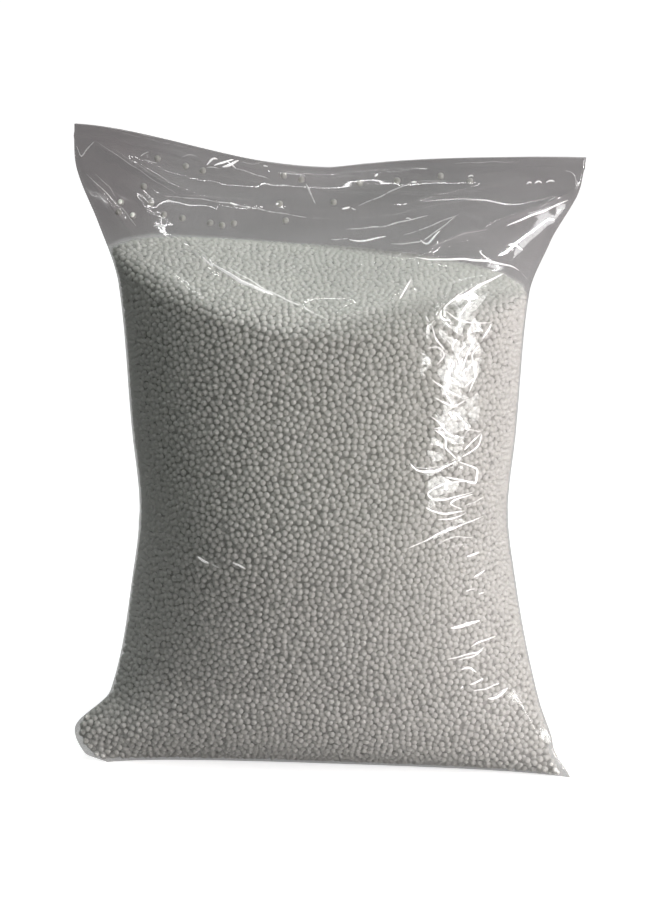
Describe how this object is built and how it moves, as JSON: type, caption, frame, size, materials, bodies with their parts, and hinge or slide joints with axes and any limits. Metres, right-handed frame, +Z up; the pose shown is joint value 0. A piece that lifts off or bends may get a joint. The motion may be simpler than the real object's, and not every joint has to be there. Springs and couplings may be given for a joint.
{
  "type": "bag of polystyrene beads",
  "caption": "Clear film bag standing upright, filled with small white foam beads, with slack folded film and a pressed mouth above the load.",
  "frame": {"origin": "on the floor, under the middle of the bag's box", "axes": "+Z up along the standing bag, +Y through its depth towards the back, so that its front faces -Y, +X across its width"},
  "size_m": [0.2994, 0.1584, 0.38],
  "materials": {
    "film": "thin clear polyethylene film with a faint grey-lilac tint, glossy, creased where it is slack",
    "foam": "matt white expanded foam, as small round beads"
  },
  "bodies": {
    "root": {"bag_film": "film", "bead_fill": "foam", "loose_bead_01": "foam", "loose_bead_02": "foam", "loose_bead_03": "foam", "loose_bead_04": "foam", "loose_bead_05": "foam", "loose_bead_06": "foam", "loose_bead_07": "foam", "loose_bead_08": "foam", "loose_bead_09": "foam", "loose_bead_10": "foam", "loose_bead_11": "foam", "loose_bead_12": "foam", "loose_bead_13": "foam", "loose_bead_14": "foam", "loose_bead_15": "foam", "loose_bead_16": "foam", "loose_bead_17": "foam", "loose_bead_18": "foam", "loose_bead_19": "foam", "loose_bead_20": "foam", "loose_bead_21": "foam", "loose_bead_22": "foam"}
  },
  "joints": []
}
